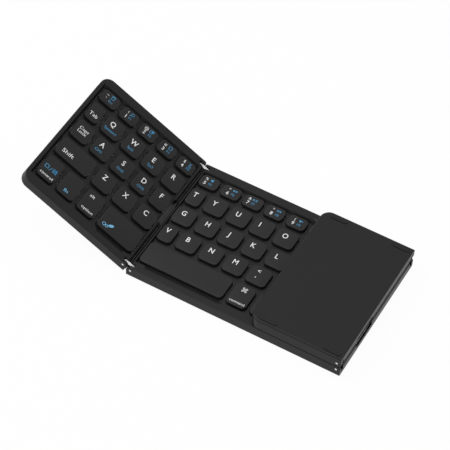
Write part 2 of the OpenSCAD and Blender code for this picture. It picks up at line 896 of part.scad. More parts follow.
touchpad_x = pocket_end + touchpad_side_gap;
touchpad_y = block_end + touchpad_end_gap;
touchpad_width = right_width - 2 * touchpad_x;
touchpad_depth = panel_depth - 2 * touchpad_y;
touchpad_z = panel_height - touchpad_drop - touchpad_thickness;
touchpad_board_z = touchpad_z - board_thickness;

module right_bottom_cover() {
    color("#303032") place_right()
        bottom_cover(0, right_width, true, false, right_feet_spots, right_posts,
                     touchpad_board_z, right_ribbon_y, 0);
}

module right_top_frame() {
    color("#2e2e30") place_right() difference() {
        frame_blank(0, right_width, true, false);
        translate([touchpad_x - touchpad_clearance, touchpad_y - touchpad_clearance, 0])
            linear_extrude(panel_height + cut)
            rounded_rect(touchpad_width + 2 * touchpad_clearance,
                         touchpad_depth + 2 * touchpad_clearance, 2 + touchpad_clearance);
        hinge_cuts(0, 1, right_ribbon_y);
        frame_screw_holes(right_feet_spots);
    }
}

module touchpad_plate() {
    color("#26262a") place_right() translate([touchpad_x, touchpad_y, touchpad_z])
        linear_extrude(touchpad_thickness) rounded_rect(touchpad_width, touchpad_depth, 2);
}

board_inset = 1;

module touchpad_board() {
    w = touchpad_width - 2 * board_inset;
    d = touchpad_depth - 2 * board_inset;
    color("#1f6a3c") place_right()
        translate([touchpad_x + board_inset, touchpad_y + board_inset, touchpad_board_z]) {
            cube([w, d, board_thickness]);
            translate([0.36 * w, 0.38 * d, -chip_height])
                cube([0.86 * chip_size, 0.86 * chip_size, chip_height + board_thickness / 2]);
            translate([0.6 * w, 0.56 * d, -0.7 * chip_height])
                cube([0.43 * chip_size, 0.43 * chip_size, 0.7 * chip_height + board_thickness / 2]);
        }
}

module right_feet() {
    color("#1c1c1e") place_right() feet(right_feet_spots);
}

module right_screws() {
    color("#7c7f84") place_right() screws(right_feet_spots);
}

module right_hinge_blocks() {
    color("#b4b7bb") place_right() at_hinge_ends(0, 1) hinge_block();
}

module right_hinge_pins() {
    color("#e6e8ea") place_right() at_hinge_ends(0, 1) hinge_pin();
}

// ---- hinge links and ribbon cables, drawn along +x from one pin to the other ----

// In plan a link is a lens between two arcs; from the side it has round ends.
module hinge_link() {
    half_span = link_length / 2 + link_reach + 0.5;
    tip = link_reach - link_radius;
    half_t = link_thickness / 2;
    lens_r = (half_span * half_span + half_t * half_t) / (2 * half_t);
    translate([0, link_inset, 0]) difference() {
        intersection() {
            along_y(-link_thickness, link_thickness) {
                for (x = [-tip, link_length + tip]) translate([x, 0]) circle(link_radius);
                translate([-tip, -link_radius]) square([link_length + 2 * tip, 2 * link_radius]);
            }
            translate([0, 0, -panel_height]) linear_extrude(2 * panel_height) intersection() {
                translate([link_length / 2, lens_r - half_t]) circle(lens_r, $fn = 180);
                translate([link_length / 2, half_t - lens_r]) circle(lens_r, $fn = 180);
            }
        }
        for (x = [0, link_length]) translate([x, -link_thickness, 0]) rotate([-90, 0, 0])
            cylinder(r = pin_radius + pin_clearance, h = 2 * link_thickness);
    }
}

module link_pair() {
    hinge_link();
    translate([0, panel_depth, 0]) mirror([0, 1, 0]) hinge_link();
}

module ribbon(y) {
    translate([ribbon_end, y - ribbon_width / 2, -ribbon_drop - ribbon_thickness / 2])
        cube([link_length - 2 * ribbon_end, ribbon_width, ribbon_thickness]);
}

module strip_piece(y0, y1) {
    translate([(link_length - strip_thickness) / 2, y0, -strip_height / 2])
        cube([strip_thickness, y1 - y0, strip_height]);
}

module hinge_strip(ribbon_y) {
    y0 = link_inset + link_thickness / 2;
    y1 = link_inset - link_thickness / 2;
    room = ribbon_thickness / 2 + strip_clearance;
    difference() {
        union() {
            strip_piece(y0, panel_depth - y0);
            strip_piece(strip_end, y1);
            strip_piece(panel_depth - y1, panel_depth - strip_end);
        }
        translate([0, ribbon_y - ribbon_width / 2 - strip_clearance, -ribbon_drop - room])
            cube([link_length, ribbon_width + 2 * strip_clearance, 2 * room]);
    }
}

module left_hinge_links() {
    color("#eceef0") place_left_links() link_pair();
}

module right_hinge_links() {
    color("#eceef0") place_right_links() link_pair();
}

module left_hinge_strip() {
    color("#1a1a1c") place_left_links() hinge_strip(left_ribbon_y);
}

module right_hinge_strip() {
    color("#1a1a1c") place_right_links() hinge_strip(right_ribbon_y);
}

module left_ribbon_cable() {
    color("#2a2a2c") place_left_links() ribbon(left_ribbon_y);
}

module right_ribbon_cable() {
    color("#2a2a2c") place_right_links() ribbon(right_ribbon_y);
}

middle_bottom_cover();
middle_top_frame();
middle_support_plate();
middle_membrane();
middle_rubber_domes();
middle_scissor_frames();
circuit_board();
battery();
charging_socket();
indicator_lens();
middle_feet();
middle_screws();
middle_hinge_blocks();
middle_hinge_pins();
left_bottom_cover();
left_top_frame();
left_support_plate();
left_membrane();
left_rubber_domes();
left_scissor_frames();
left_feet();
left_screws();
left_hinge_blocks();
left_hinge_pins();
right_bottom_cover();
right_top_frame();
touchpad_plate();
touchpad_board();
right_feet();
right_screws();
right_hinge_blocks();
right_hinge_pins();
left_hinge_links();
right_hinge_links();
left_hinge_strip();
right_hinge_strip();
left_ribbon_cable();
right_ribbon_cable();

left_keycaps(0, [0]);  // left_space_key
left_keycaps(0, [1]);  // left_option_key
left_keycaps(0, [2]);  // fn_key
left_keycaps(0, [3]);  // control_key
left_keycaps(1, [0:2]);  // lower_left_letter_keys
left_keycaps(1, [3]);  // left_shift_key
left_keycaps(2, [0:3]);  // home_left_letter_keys
left_keycaps(2, [4]);  // caps_lock_key
left_keycaps(3, [0:3]);  // upper_left_letter_keys
left_keycaps(3, [4]);  // tab_key
left_keycaps(4, [0:4]);  // left_number_keys
middle_keycaps(0, [0]);  // space_bar
middle_keycaps(0, [1]);  // command_key
middle_keycaps(0, [2]);  // right_option_key
union() { middle_keycaps(0, [3:5]); middle_keycaps(1, [7]); }  // arrow_keys
middle_keycaps(1, [0:6]);  // lower_right_letter_keys
middle_keycaps(1, [8]);  // right_shift_key
middle_keycaps(2, [0:6]);  // home_right_letter_keys
middle_keycaps(2, [7]);  // enter_key
middle_keycaps(3, [0:8]);  // upper_right_letter_keys
middle_keycaps(4, [0:7]);  // right_number_keys
middle_keycaps(4, [8]);  // backspace_key
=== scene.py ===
"""Folding keyboard: keys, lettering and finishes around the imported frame."""

import json
import math

import bpy
from mathutils import Matrix, Vector


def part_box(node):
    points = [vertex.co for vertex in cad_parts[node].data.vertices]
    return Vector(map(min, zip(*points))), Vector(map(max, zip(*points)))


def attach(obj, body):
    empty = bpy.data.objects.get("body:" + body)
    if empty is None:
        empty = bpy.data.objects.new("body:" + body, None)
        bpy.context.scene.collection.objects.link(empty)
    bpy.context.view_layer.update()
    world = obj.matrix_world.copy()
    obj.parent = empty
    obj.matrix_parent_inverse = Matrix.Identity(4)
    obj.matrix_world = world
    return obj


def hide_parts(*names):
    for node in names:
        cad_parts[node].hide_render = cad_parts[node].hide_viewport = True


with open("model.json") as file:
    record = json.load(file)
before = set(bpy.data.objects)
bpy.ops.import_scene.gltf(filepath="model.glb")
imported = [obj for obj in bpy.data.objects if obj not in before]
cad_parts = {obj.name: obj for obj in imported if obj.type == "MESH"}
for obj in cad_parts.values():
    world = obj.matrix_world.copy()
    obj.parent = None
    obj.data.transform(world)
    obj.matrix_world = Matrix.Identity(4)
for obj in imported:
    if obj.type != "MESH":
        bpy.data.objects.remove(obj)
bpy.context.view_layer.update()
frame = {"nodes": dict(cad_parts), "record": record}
nodes = frame["nodes"]
bpy.ops.object.select_all(action="DESELECT")

MM = 0.001

# ---- sizes, in millimetres, as in the part's source ----
LEFT_WIDTH, RIGHT_WIDTH, PANEL_HEIGHT, FOLD_GAP = 84.8, 62.4, 8.0, 0.4
HINGE_RADIUS, LEFT_TILT = 2.8, 27.6
MIDDLE_WIDTH = LEFT_WIDTH + RIGHT_WIDTH + FOLD_GAP
PIN_HEIGHT = PANEL_HEIGHT - HINGE_RADIUS
LINK_LENGTH = 2 * HINGE_RADIUS + FOLD_GAP
KEY_WIDTH, KEY_DEPTH = 13.7, 13.8
NUMBER_WIDTH, NUMBER_DEPTH = 12.85, 9.6
FRONT_DEPTH, SEAM_WIDTH, NARROW_WIDTH = 17.0, 10.0, 12.1
LEFT_SPACE, SPACE_BAR, MODIFIER = 28.2, 58.1, 13.4
KEY_GAP, ROW_GAP, KEY_CORNER = 2.9, 3.4, 2.8
KEY_TAPER, CAP_HEIGHT, CAP_WALL = 0.25, 2.5, 0.8
HINGE_MARGIN, OUTER_MARGIN, FRONT_MARGIN = 3.4, 4.9, 8.6
DECK_DROP, KEY_RISE = 2.2, 2.0
KEY_TOP = PANEL_HEIGHT - DECK_DROP + KEY_RISE
CORNER_STEPS = 7
RIM_ROLL, RIM_STEPS = 0.18, 4
HOMING_BAR, HOMING_ROLL, HOMING_FRONT = (3.4, 0.7, 0.5), 0.22, 2.4
PRINT = 0.012

# ---- places of the two panels with keys, at rest ----
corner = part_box("middle_bottom_cover")[0]
MIDDLE = Matrix.Translation(corner) @ Matrix.Scale(MM, 4)
LEFT = (MIDDLE @ Matrix.Translation((HINGE_RADIUS, 0, PIN_HEIGHT))
        @ Matrix.Rotation(math.radians(LEFT_TILT), 4, "Y")
        @ Matrix.Translation((HINGE_RADIUS - LINK_LENGTH, 0, -PIN_HEIGHT)))
PANELS = {"left": LEFT, "middle": MIDDLE}

# ---- key rows, front to back, from the hinge outwards; the last key fills its row ----
ROW_DEPTHS = [FRONT_DEPTH, KEY_DEPTH, KEY_DEPTH, KEY_DEPTH, NUMBER_DEPTH]
LEFT_ROWS = [
    [LEFT_SPACE, MODIFIER, MODIFIER],
    [KEY_WIDTH] * 3,
    [NARROW_WIDTH] * 2 + [KEY_WIDTH] * 2,
    [KEY_WIDTH] * 4,
    [NUMBER_WIDTH] * 4,
]
MIDDLE_ROWS = [
    [SPACE_BAR] + [MODIFIER] * 4,
    [SEAM_WIDTH] + [KEY_WIDTH] * 7,
    [KEY_WIDTH] * 7,
    [SEAM_WIDTH] + [KEY_WIDTH] * 7,
    [NUMBER_WIDTH] * 8,
]
ROW_FRONTS = [FRONT_MARGIN + sum(ROW_DEPTHS[:r]) + r * ROW_GAP for r in range(5)]


def key_place(panel, row, index):
    """(left, front, width, depth) of a key's top in its panel's frame."""
    widths = LEFT_ROWS[row] if panel == "left" else MIDDLE_ROWS[row]
    end = LEFT_WIDTH - OUTER_MARGIN if panel == "left" else MIDDLE_WIDTH - HINGE_MARGIN
    start = HINGE_MARGIN + sum(widths[:index]) + index * KEY_GAP
    width = widths[index] if index < len(widths) else end - start
    left = -start - width if panel == "left" else start
    return left, ROW_FRONTS[row], width, ROW_DEPTHS[row]


KEY_NODES = {
    "left_space_key": ("left", [(0, 0)]),
    "left_option_key": ("left", [(0, 1)]),
    "fn_key": ("left", [(0, 2)]),
    "control_key": ("left", [(0, 3)]),
    "lower_left_letter_keys": ("left", [(1, 0), (1, 1), (1, 2)]),
    "left_shift_key": ("left", [(1, 3)]),
    "home_left_letter_keys": ("left", [(2, 0), (2, 1), (2, 2), (2, 3)]),
    "caps_lock_key": ("left", [(2, 4)]),
    "upper_left_letter_keys": ("left", [(3, 0), (3, 1), (3, 2), (3, 3)]),
    "tab_key": ("left", [(3, 4)]),
    "left_number_keys": ("left", [(4, k) for k in range(5)]),
    "space_bar": ("middle", [(0, 0)]),
    "command_key": ("middle", [(0, 1)]),
    "right_option_key": ("middle", [(0, 2)]),
    "arrow_keys": ("middle", [(0, 3), (0, 4), (0, 5), (1, 7)]),
    "lower_right_letter_keys": ("middle", [(1, k) for k in range(7)]),
    "right_shift_key": ("middle", [(1, 8)]),
    "home_right_letter_keys": ("middle", [(2, k) for k in range(7)]),
    "enter_key": ("middle", [(2, 7)]),
    "upper_right_letter_keys": ("middle", [(3, k) for k in range(9)]),
    "right_number_keys": ("middle", [(4, k) for k in range(8)]),
    "backspace_key": ("middle", [(4, 8)]),
}


# ---- working on a mesh by hand ----

def only(piece):
    bpy.ops.object.select_all(action="DESELECT")
    piece.select_set(True)
    bpy.context.view_layer.objects.active = piece


def pick(piece, test, kind="FACE"):
    """Edit mode with the faces or edges selected for which test(centre, direction) holds."""
    if bpy.context.mode != "OBJECT":
        bpy.ops.object.mode_set(mode="OBJECT")
    only(piece)
    mesh = piece.data
    for part in (mesh.vertices, mesh.edges, mesh.polygons):
        part.foreach_set("select", [False] * len(part))
    if kind == "FACE":
        for face in mesh.polygons:
            face.select = test(face.center, face.normal)
    else:
        for edge in mesh.edges:
            a, b = (mesh.vertices[i].co for i in edge.vertices)
            edge.select = test((a + b) / 2, b - a)
    bpy.ops.object.mode_set(mode="EDIT")
    bpy.ops.mesh.select_mode(type=kind)


def settle(piece, smooth_angle=35):
    if bpy.context.mode != "OBJECT":
        bpy.ops.object.mode_set(mode="OBJECT")
    only(piece)
    bpy.ops.object.transform_apply(location=True, rotation=True, scale=True)
    bpy.ops.object.shade_smooth_by_angle(angle=math.radians(smooth_angle))
    return piece


def copy_at(piece, place):
    twin = piece.copy()
    twin.data = piece.data.copy()
    bpy.context.collection.objects.link(twin)
    twin.matrix_world = place
    return twin


def joined(parts, name):
    """One piece from several, its place in its mesh."""
    bpy.ops.object.select_all(action="DESELECT")
    for part in parts:
        part.select_set(True)
    bpy.context.view_layer.objects.active = parts[0]
    if len(parts) > 1:
        bpy.ops.object.join()
    piece = bpy.context.view_layer.objects.active
    bpy.ops.object.transform_apply(location=True, rotation=True, scale=True)
    piece.name = name
    piece.data.name = name
    return piece


def dress(piece, material):
    piece.data.materials.clear()
    piece.data.materials.append(material)
    return piece


# ---- finishes ----

def node(tree, kind, **values):
    made = tree.nodes.new(kind)
    for name, value in values.items():
        if name in made.inputs:
            made.inputs[name].default_value = value
        else:
            setattr(made, name, value)
    return made


def make_grain_group():
    """Moulded or blasted grain with faint handling marks."""
    group = bpy.data.node_groups.new("moulded_grain", "ShaderNodeTree")
    face = group.interface
    for name, value in (("Grain Scale", 3000.0), ("Grain Depth", 0.1), ("Mark Scale", 25.0),
                        ("Roughness", 0.5), ("Roughness Spread", 0.08), ("Tint Spread", 0.1)):
        face.new_socket(name, in_out="INPUT", socket_type="NodeSocketFloat").default_value = value
    base = face.new_socket("Base Color", in_out="INPUT", socket_type="NodeSocketColor")
    base.default_value = (0.02, 0.02, 0.02, 1)
    face.new_socket("Color", in_out="OUTPUT", socket_type="NodeSocketColor")
    face.new_socket("Roughness", in_out="OUTPUT", socket_type="NodeSocketFloat")
    face.new_socket("Normal", in_out="OUTPUT", socket_type="NodeSocketVector")
    put = node(group, "NodeGroupOutput")
    get = node(group, "NodeGroupInput")
    place = node(group, "ShaderNodeTexCoord")
    link = group.links.new
    grain = node(group, "ShaderNodeTexNoise", Detail=2.0, Roughness=0.6)
    link(place.outputs["Object"], grain.inputs["Vector"])
    link(get.outputs["Grain Scale"], grain.inputs["Scale"])
    bump = node(group, "ShaderNodeBump", Distance=0.00004)
    link(get.outputs["Grain Depth"], bump.inputs["Strength"])
    link(grain.outputs["Fac"], bump.inputs["Height"])
    link(bump.outputs["Normal"], put.inputs["Normal"])
    marks = node(group, "ShaderNodeTexNoise", Detail=5.0, Roughness=0.62, Distortion=0.4)
    link(place.outputs["Object"], marks.inputs["Vector"])
    link(get.outputs["Mark Scale"], marks.inputs["Scale"])
    centred = node(group, "ShaderNodeMath", operation="SUBTRACT")
    centred.inputs[1].default_value = 0.5
    link(marks.outputs["Fac"], centred.inputs[0])
    spread = node(group, "ShaderNodeMath", operation="MULTIPLY_ADD")
    link(centred.outputs[0], spread.inputs[0])
    link(get.outputs["Roughness Spread"], spread.inputs[1])
    link(get.outputs["Roughness"], spread.inputs[2])
    link(spread.outputs[0], put.inputs["Roughness"])
    tint = node(group, "ShaderNodeMath", operation="MULTIPLY_ADD")
    link(centred.outputs[0], tint.inputs[0])
    link(get.outputs["Tint Spread"], tint.inputs[1])
    tint.inputs[2].default_value = 1.0
    speck = node(group, "ShaderNodeMath", operation="MULTIPLY_ADD")
    speck.inputs[1].default_value = 0.3
    speck.inputs[2].default_value = 0.85
    link(grain.outputs["Fac"], speck.inputs[0])
    both = node(group, "ShaderNodeMath", operation="MULTIPLY")
    link(tint.outputs[0], both.inputs[0])
    link(speck.outputs[0], both.inputs[1])
    shade = node(group, "ShaderNodeVectorMath", operation="SCALE")
    link(get.outputs["Base Color"], shade.inputs[0])
    link(both.outputs[0], shade.inputs["Scale"])
    link(shade.outputs[0], put.inputs["Color"])
    return group


GRAIN = make_grain_group()
PLASTIC_IOR, ROUGHNESS_SPREAD = 1.5, 0.08


def finish_of(name, color, rough, metallic=0.0, grain=3000.0, depth=0.1, tint=0.1, marks=25.0,
              specular=0.5, coat=0.0):
    """A material: the shader's own values, and the grain group for what changes over the surface."""
    material = bpy.data.materials.new(name)
    material.use_nodes = True
    tree = material.node_tree
    shader = tree.nodes["Principled BSDF"]
    shader.inputs["Metallic"].default_value = metallic
    shader.inputs["Specular IOR Level"].default_value = specular
    shader.inputs["IOR"].default_value = PLASTIC_IOR
    shader.inputs["Coat Weight"].default_value = coat
    surface = node(tree, "ShaderNodeGroup", node_tree=GRAIN)
    surface.inputs["Base Color"].default_value = (*color, 1)
    surface.inputs["Grain Scale"].default_value = grain
    surface.inputs["Grain Depth"].default_value = depth
    surface.inputs["Mark Scale"].default_value = marks
    surface.inputs["Roughness"].default_value = rough
    surface.inputs["Roughness Spread"].default_value = ROUGHNESS_SPREAD
    surface.inputs["Tint Spread"].default_value = tint
    for output, entry in (("Color", "Base Color"), ("Roughness", "Roughness"), ("Normal", "Normal")):
        tree.links.new(surface.outputs[output], shader.inputs[entry])
    return material


# Each finish: base colour, roughness, then what differs from plain plastic.
FINISH_TABLE = {
    "key_plastic": ((0.0132, 0.0132, 0.0132), 0.44, {"grain": 5200, "depth": 0.2, "specular": 0.21}),
    "frame_plastic": ((0.0088, 0.0088, 0.0088), 0.40, {"grain": 6500, "depth": 0.15, "specular": 0.205}),
    "cover_plastic": ((0.0088, 0.0088, 0.0088), 0.40, {"grain": 6500, "depth": 0.15, "specular": 0.205}),
    "plate_steel": ((0.55, 0.56, 0.57), 0.35, {"metallic": 1.0, "grain": 1800}),
    "membrane_film": ((0.72, 0.70, 0.62), 0.3, {}),
    "dome_rubber": ((0.72, 0.73, 0.72), 0.55, {}),
    "scissor_plastic": ((0.80, 0.80, 0.78), 0.4, {}),
    "circuit_board": ((0.03, 0.16, 0.07), 0.35, {"marks": 160, "tint": 0.6}),
    "battery_pouch": ((0.55, 0.57, 0.60), 0.32, {"metallic": 0.9, "marks": 60}),
    "socket_steel": ((0.70, 0.71, 0.72), 0.25, {"metallic": 1.0}),
    "indicator_lens": ((0.008, 0.009, 0.010), 0.12, {"coat": 0.5}),
    "foot_rubber": ((0.0067, 0.0067, 0.0067), 0.46, {"grain": 2600, "depth": 0.3, "specular": 0.205}),
    "screw_steel": ((0.42, 0.43, 0.45), 0.35, {"metallic": 1.0}),
    "block_aluminium": ((0.62, 0.63, 0.65), 0.42, {"metallic": 1.0}),
    "pin_steel": ((0.80, 0.81, 0.82), 0.28, {"metallic": 0.9}),
    "link_metal": ((0.95, 0.95, 0.95), 0.4, {"metallic": 0.15, "grain": 4000}),
    "ribbon_film": ((0.03, 0.03, 0.031), 0.36, {"grain": 900, "depth": 0.2}),
    "strip_film": ((0.045, 0.045, 0.0455), 0.35, {"grain": 900, "depth": 0.15}),
    "touchpad_surface": ((0.008, 0.008, 0.0083), 0.30, {"grain": 8000, "specular": 0.26}),
}
PRINT_COLORS = {"white": (0.93, 0.93, 0.93), "blue": (0.055, 0.27, 0.48), "pale": (0.18, 0.48, 0.75)}
PRINT_ROUGH, PRINT_GRAIN = 0.5, 5200

FINISHES = {name: finish_of(name, color, rough, **rest)
            for name, (color, rough, rest) in FINISH_TABLE.items()}
PRINTS = {name: finish_of(name + "_print", color, PRINT_ROUGH, grain=PRINT_GRAIN)
          for name, color in PRINT_COLORS.items()}

slot_of = {s["node"]: s["material_slot"] for s in frame["record"]["subparts"]}
for name, thing in nodes.items():
    dress(thing, FINISHES[slot_of[name]])


# ---- keycaps ----

cap_models = {}


def keycap(width, depth):
    """A cap whose top's middle is at the origin, hollow underneath, in millimetres."""
    size = (round(width, 3), round(depth, 3))
    if size in cap_models:
        return cap_models[size]
    foot_width, foot_depth = width + 2 * KEY_TAPER, depth + 2 * KEY_TAPER
    bpy.ops.mesh.primitive_cube_add(size=1, location=(0, 0, -CAP_HEIGHT / 2))
    cap = bpy.context.object
    cap.scale = (foot_width, foot_depth, CAP_HEIGHT)
    bpy.ops.object.transform_apply(location=True, rotation=False, scale=True)
    pick(cap, lambda c, n: n.z > 0.9)
    bpy.ops.transform.resize(value=(width / foot_width, depth / foot_depth, 1),
                             center_override=(0, 0, 0))
    pick(cap, lambda c, d: abs(d.z) > CAP_HEIGHT * 0.9, kind="EDGE")
    bpy.ops.mesh.bevel(offset=KEY_CORNER, segments=CORNER_STEPS, affect="EDGES", clamp_overlap=False)
    pick(cap, lambda c, d: c.z > -0.001 and abs(d.z) < 0.001, kind="EDGE")
    bpy.ops.mesh.bevel(offset=RIM_ROLL, segments=RIM_STEPS, affect="EDGES", clamp_overlap=False)
    pick(cap, lambda c, n: n.z < -0.9)
    bpy.ops.mesh.inset(thickness=CAP_WALL)
    bpy.ops.mesh.extrude_region_move(
        TRANSFORM_OT_translate={"value": (0, 0, CAP_HEIGHT - CAP_WALL)})
    cap_models[size] = settle(cap)
    return cap


# ---- lettering ----

CAPITAL = 0.73  # height of a capital as a share of the typeface's size


def mark_of_text(text, height, anchor="LEFT", width=None, wide=1.0, bold=0.008):
    """Flat lettering whose baseline starts at the origin, in millimetres; width is its full width."""
    bpy.ops.object.text_add(location=(0, 0, 0))
    mark = bpy.context.object
    mark.data.body = text
    mark.data.size = height / CAPITAL
    mark.data.align_x = anchor
    mark.data.resolution_u = 3
    mark.data.extrude = PRINT / 2
    mark.data.offset = bold * height
    only(mark)
    bpy.ops.object.convert(target="MESH")
    mark = bpy.context.object
    if width:
        wide = width / mark.dimensions.x
    mark.scale = (wide, 1, 1)
    bpy.ops.object.transform_apply(location=False, rotation=False, scale=True)
    bpy.ops.object.mode_set(mode="EDIT")
    bpy.ops.mesh.select_all(action="SELECT")
    bpy.ops.mesh.remove_doubles(threshold=0.001)
    bpy.ops.object.mode_set(mode="OBJECT")
    return mark


def plate(sides, radius, turn=0.0, wide=1.0, at=(0, 0)):
    """A thin flat disc or polygon."""
    bpy.ops.mesh.primitive_cylinder_add(vertices=sides, radius=radius, depth=PRINT,
                                        location=(at[0], at[1], 0), rotation=(0, 0, turn))
    mark = bpy.context.object
    mark.scale = (wide, 1, 1)
    bpy.ops.object.transform_apply(location=True, rotation=True, scale=True)
    return mark


def frame_plate(sides, radius, line, turn=0.0, at=(0, 0)):
    """A thin flat ring or polygon outline."""
    mark = plate(sides, radius)
    pick(mark, lambda c, n: abs(n.z) > 0.9)
    bpy.ops.mesh.inset(thickness=line)
    bpy.ops.mesh.bridge_edge_loops()
    bpy.ops.object.mode_set(mode="OBJECT")
    mark.rotation_euler = (0, 0, turn)
    mark.location = (at[0], at[1], 0)
    bpy.ops.object.transform_apply(location=True, rotation=True, scale=False)
    return mark


def bar(length, thick, turn=0.0, at=(0, 0)):
    bpy.ops.mesh.primitive_cube_add(size=1, location=(at[0], at[1], 0), rotation=(0, 0, turn))
    mark = bpy.context.object
    mark.scale = (length, thick, PRINT)
    bpy.ops.object.transform_apply(location=True, rotation=True, scale=True)
    return mark


QUARTER = math.pi / 4


def icon(kind):
    """A small general sign about 3 mm across, its middle at the origin."""
    if kind == "home":
        return [frame_plate(4, 1.7, 0.35, QUARTER), bar(3.0, 0.35, 0, (0, 1.45))]
    if kind == "search":
        return [frame_plate(16, 1.15, 0.35, 0, (0.2, 0.3)), bar(1.5, 0.4, QUARTER, (-1.0, -0.9))]
    if kind == "copy":
        return [frame_plate(4, 1.5, 0.3, QUARTER, (-0.4, -0.3)), plate(4, 1.2, QUARTER, 1, (0.6, 0.5))]
    if kind == "paste":
        return [frame_plate(4, 1.7, 0.35, QUARTER), bar(1.4, 0.5, 0, (0, 1.1))]
    if kind == "cut":
        return [bar(3.2, 0.35, 1.1), bar(3.2, 0.35, -1.1), frame_plate(12, 0.65, 0.25, 0, (0.8, -1.3))]
    if kind == "all":
        return [plate(3, 1.5, math.pi / 2)]
    if kind == "back":
        return [plate(3, 1.05, math.pi, 1, (0.9, 0)), plate(3, 1.05, math.pi, 1, (-0.7, 0))]
    if kind == "play":
        return [plate(3, 1.1, 0, 1, (-0.9, 0)), bar(0.35, 1.9, 0, (0.7, 0)), bar(0.35, 1.9, 0, (1.4, 0))]
    if kind == "next":
        return [plate(3, 1.05, 0, 1, (-0.9, 0)), plate(3, 1.05, 0, 1, (0.7, 0))]
    if kind == "quiet":
        return [plate(3, 1.3, math.pi, 1, (-0.2, 0)), bar(0.9, 0.35, QUARTER, (1.3, 0)),
                bar(0.9, 0.35, -QUARTER, (1.3, 0))]
    if kind == "softer":
        return [plate(3, 1.3, math.pi, 1, (-0.4, 0)), bar(1.2, 0.35, 0, (1.3, 0))]
    if kind == "louder":
        return [plate(3, 1.3, math.pi, 1, (-0.4, 0)), bar(1.3, 0.35, 0, (1.3, 0)),
                bar(0.35, 1.3, 0, (1.3, 0))]
    if kind == "lock":
        return [plate(4, 1.3, QUARTER, 1.1, (0, -0.4)), frame_plate(14, 0.8, 0.3, 0, (0, 0.7))]
    if kind == "loops":
        ends = [(x, y) for x in (-1.0, 1.0) for y in (-1.0, 1.0)]
        return [frame_plate(4, 1.0, 0.32, QUARTER)] + [frame_plate(14, 0.68, 0.32, 0, e) for e in ends]
    if kind == "screens":
        return [frame_plate(4, 2.0, 0.4, QUARTER, (-3.1, 0.1)), bar(3.4, 0.35, 1.05, (-0.1, -0.2)),
                plate(4, 2.1, QUARTER, 1, (3.0, 0.1)), plate(24, 1.62, 0, 1, (3.0, 0.1))]
    if kind == "pairing":
        return [frame_plate(18, 1.25, 0.4, 0, (-2.3, -0.8)), frame_plate(18, 1.05, 0.4, 0, (-0.1, -0.9))]
    if kind == "pairing_tail":
        return [plate(20, 1.0, 0.6, 1.9, (2.2, 1.0))]
    if kind in ("left", "down", "right", "up"):
        turn = {"left": math.pi, "down": -math.pi / 2, "right": 0, "up": math.pi / 2}[kind]
        return [plate(3, 1.35, turn)]
    raise ValueError(kind)


def put_mark(store, color, parts, place):
    for part in parts:
        part.matrix_world = place @ part.matrix_world
        store.setdefault(color, []).append(part)


# Drops run from the back edge of a key's top to a baseline, middles from its left edge.
LETTER_HEIGHT, LETTER_WIDE, LETTER_BOLD = 3.9, 0.9, 0.012
SECOND_HEIGHT = 2.0
PAIR_MIDDLE, PAIR_DROPS, PAIR_HEIGHT = 5.3, (4.8, 8.7), 3.0
NUMBER_DROPS, NUMBER_HEIGHTS = (3.8, 7.5), (2.2, 2.7)
NUMBER_SIGN_DROP, FUNCTION_DROP, FUNCTION_HEIGHT = 2.8, 7.0, 1.9
LETTER_DROPS = {"left": {1: 6.3, 2: 6.4, 3: 6.6}, "middle": {1: 6.5, 2: 6.65, 3: 6.9}}
LETTERS = {
    "left": {1: "CXZ", 2: "FDSA", 3: "REWQ"},
    "middle": {1: "VBNM", 2: "GHJKL", 3: "TYUIOP"},
}
LETTER_MIDDLES = {
    "C": 5.9, "X": 5.8, "Z": 5.7, "F": 5.4, "D": 6.0, "S": 5.9, "A": 5.1, "R": 5.6, "E": 5.9,
    "W": 6.3, "Q": 5.3, "V": 4.2, "B": 5.5, "N": 5.6, "M": 5.9, "G": 5.7, "H": 6.1, "J": 5.0,
    "K": 5.0, "L": 5.2, "T": 4.0, "Y": 5.1, "U": 5.4, "I": 4.3, "O": 5.6, "P": 5.4,
}
SHIFTED = {
    ("middle", 1, 4): "<,", ("middle", 1, 5): ">.", ("middle", 1, 6): "?/",
    ("middle", 2, 5): ":;", ("middle", 2, 6): "\"'",
    ("middle", 3, 6): "{[", ("middle", 3, 7): "}]", ("middle", 3, 8): "|\\",
}
NUMBERS = {
    "left": [("$", "4", "cut", "F4", 4.2, 8.4), ("#", "3", "paste", "F3", 3.9, 7.9),
             ("@", "2", "copy", "F2", 3.9, 8.0), ("!", "1", "search", "F1", 4.3, 7.5),
             ("~", "`", "home", "Esc", 3.9, 7.9)],
    "middle": [("%", "5", "all", "F5", 3.8, 7.5), ("^", "6", "back", "F6", 4.6, 8.2),
               ("&", "7", "play", "F7", 3.4, 6.9), ("*", "8", "next", "F8", 4.5, 8.4),
               ("(", "9", "quiet", "F9", 4.1, 8.0), (")", "0", "softer", "F10", 4.0, 8.2),
               ("_", "-", "louder", "F11", 4.0, 8.2), ("+", "=", "lock", "F12", 4.0, 8.2)],
}
SECOND = {
    ("left", 3, 1): ("Sys3", 6.2, 10.9, 4.2), ("left", 3, 2): ("Sys2", 6.3, 10.8, 4.4),
    ("left", 3, 3): ("System1", 6.3, 10.7, 9.0), ("left", 2, 1): ("CH3", 6.5, 10.8, 5.2),
    ("left", 2, 2): ("CH2", 6.4, 10.8, 5.2), ("left", 2, 3): ("CH1", 5.2, 10.5, 5.0),
}
